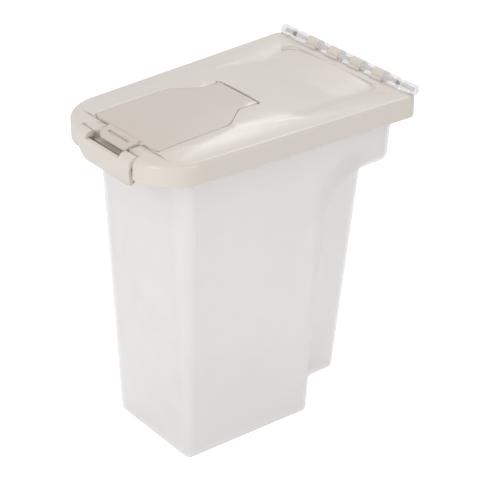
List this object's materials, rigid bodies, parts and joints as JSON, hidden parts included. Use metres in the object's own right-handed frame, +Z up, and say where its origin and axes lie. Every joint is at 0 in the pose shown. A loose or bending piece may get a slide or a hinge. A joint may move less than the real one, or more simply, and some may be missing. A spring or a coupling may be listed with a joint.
{
  "type": "pet food storage container",
  "caption": "Tapered translucent dry-food bin with a grip web at the back, hinged lid, pour flap and front snap latch.",
  "frame": {"origin": "middle of the bounding box at its foot, on the surface that the bin stands on", "axes": "+Z up, +Y from the latch at the front to the hinge at the back, +X to the right seen from the front"},
  "size_m": [0.1508, 0.2205, 0.256],
  "materials": {
    "bin_plastic": "translucent natural polypropylene, moulded, satin",
    "lid_plastic": "pearly pale greige polypropylene, moulded, satin",
    "seal_rubber": "pale soft thermoplastic elastomer, matt",
    "rod_steel": "drawn steel wire, plain"
  },
  "bodies": {
    "bin": {"bin": "bin_plastic", "hinge_rod": "rod_steel"},
    "lid": {"lid": "lid_plastic", "lid_gasket": "seal_rubber"},
    "flap": {"pour_flap": "lid_plastic", "flap_gasket": "seal_rubber"},
    "latch": {"front_latch": "lid_plastic"}
  },
  "joints": [
    {"name": "lid_hinge", "type": "hinge", "parent": "bin", "child": "lid", "pos_m": [0, 0.10625, 0.252], "axis": [-1, 0, 0], "range_deg": [0, 210]},
    {"name": "flap_hinge", "type": "hinge", "parent": "lid", "child": "flap", "pos_m": [0, 0.00445, 0.2519], "axis": [-1, 0, 0], "range_deg": [0, 100]},
    {"name": "latch_hinge", "type": "hinge", "parent": "lid", "child": "latch", "pos_m": [0, -0.10425, 0.247], "axis": [-1, 0, 0], "range_deg": [0, 95]}
  ]
}
